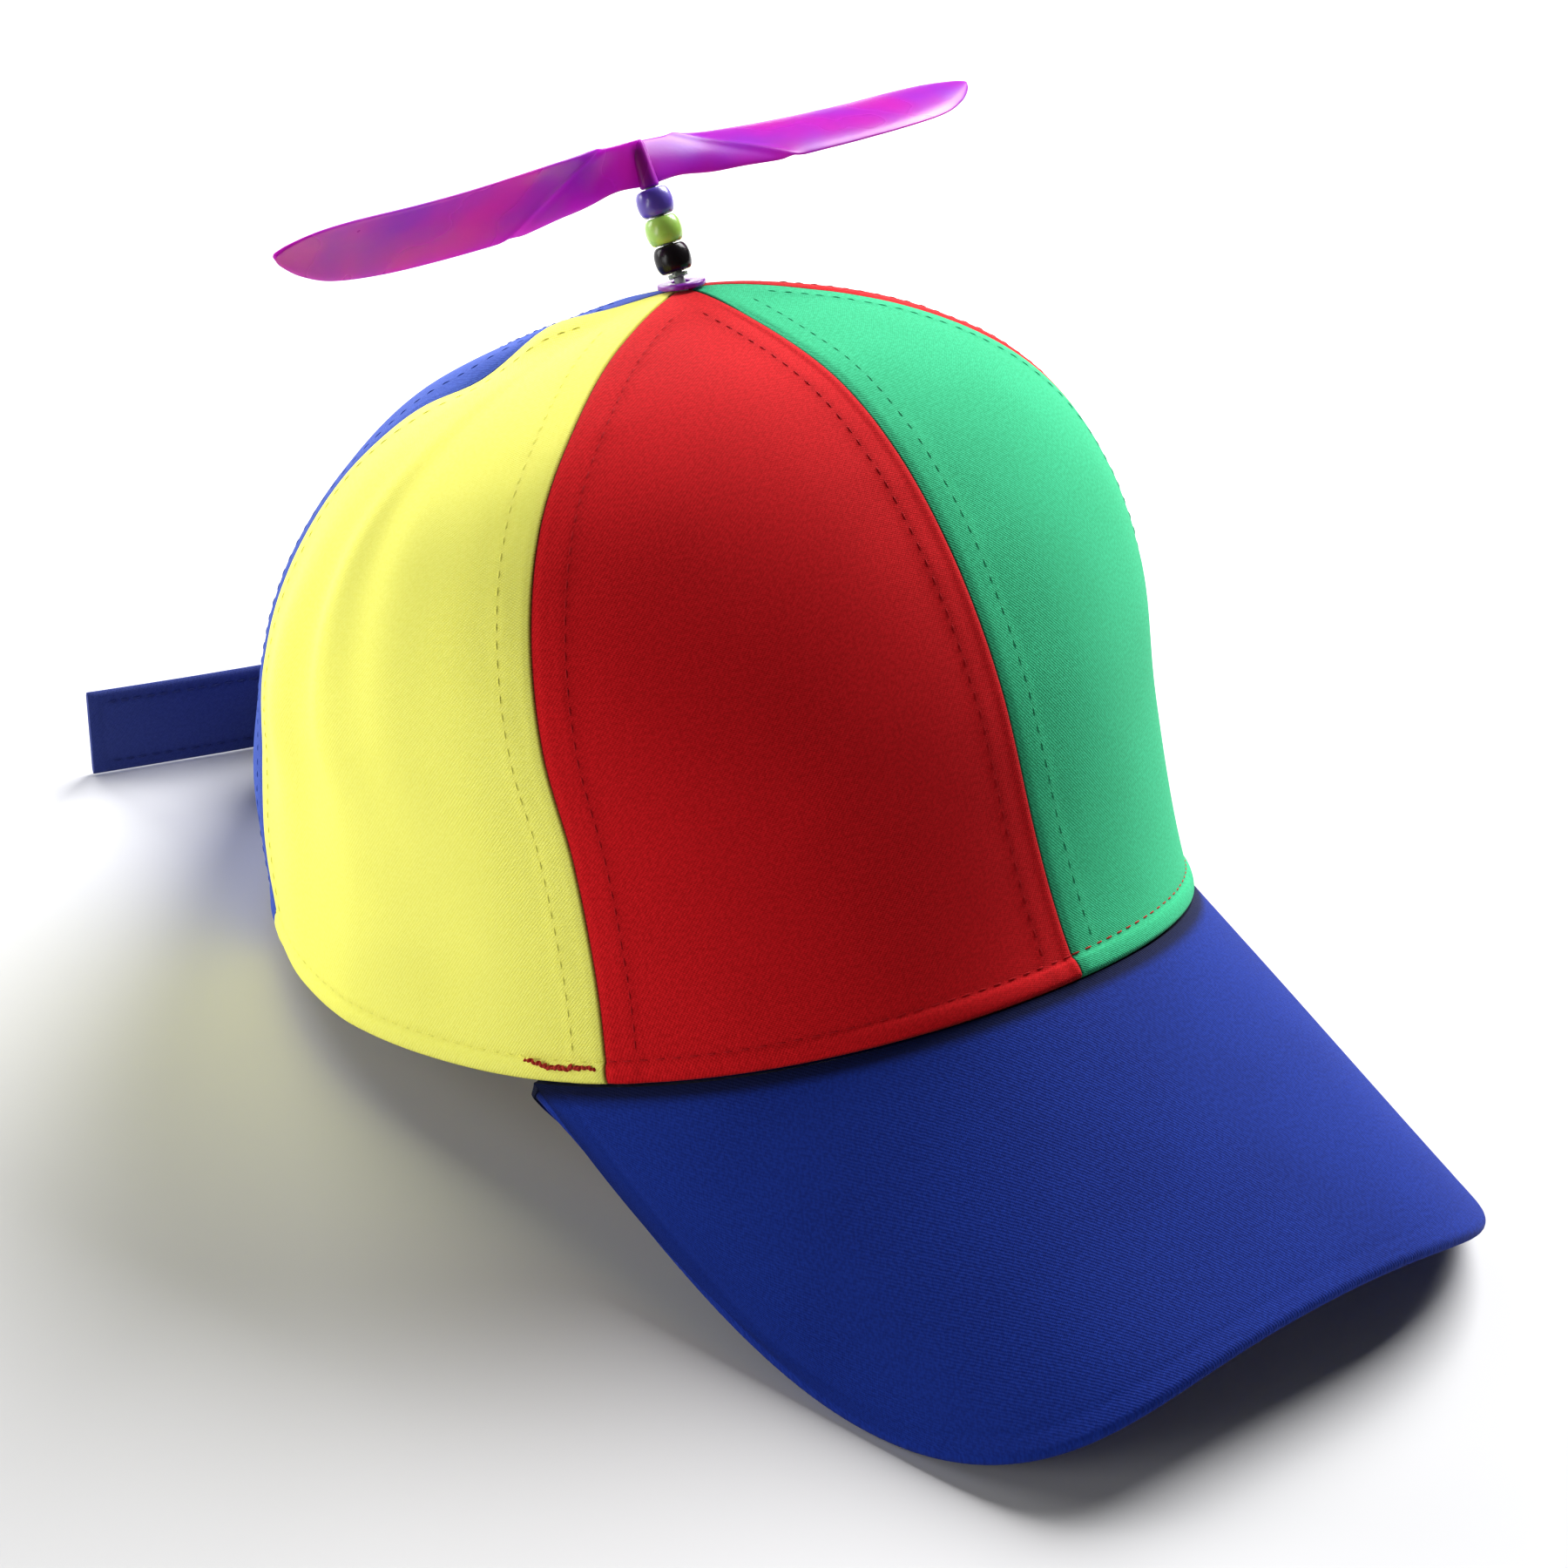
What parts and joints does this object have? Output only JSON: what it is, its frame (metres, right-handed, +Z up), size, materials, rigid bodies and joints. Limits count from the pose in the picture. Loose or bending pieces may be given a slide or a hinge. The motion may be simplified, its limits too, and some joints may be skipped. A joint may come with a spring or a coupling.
{
  "type": "propeller beanie",
  "caption": "Panelled cloth cap with a curved peak, an open back strap and a plastic propeller that spins on a beaded post.",
  "frame": {"origin": "middle of the base of the object's box, in the plane that the cap rests on", "axes": "+Z up, +Y from the peak towards the back strap (the longest way), +X towards the wearer's left"},
  "size_m": [0.1736, 0.2818, 0.1581],
  "materials": {
    "red_cloth": "plain cotton twill",
    "green_cloth": "plain cotton twill",
    "yellow_cloth": "plain cotton twill",
    "blue_cloth": "plain cotton twill",
    "peak_cloth": "plain cotton twill over a board",
    "navy_cloth": "folded cotton twill strap",
    "washer_plastic": "glossy, lets some light through",
    "post_plastic": "plain",
    "neck_plastic": "clear with a greenish tint",
    "black_plastic": "glossy",
    "lime_plastic": "glossy",
    "violet_plastic": "glossy",
    "propeller_plastic": "glossy, lets light through"
  },
  "bodies": {
    "cap": {"panel_front_right": "red_cloth", "panel_front_left": "green_cloth", "panel_side_right": "yellow_cloth", "panel_side_left": "red_cloth", "panel_rear_right": "blue_cloth", "panel_rear_left": "yellow_cloth", "peak": "peak_cloth", "strap": "navy_cloth", "washer": "washer_plastic", "post": "post_plastic", "neck": "neck_plastic", "bead_black": "black_plastic", "bead_lime": "lime_plastic", "bead_violet": "violet_plastic"},
    "propeller": {"propeller": "propeller_plastic"}
  },
  "joints": [
    {"name": "propeller_spin", "type": "hinge", "parent": "cap", "child": "propeller", "pos_m": [0, 0.05995, 0.14831], "axis": [0, 0.5956, 0.8033], "continuous": true}
  ]
}
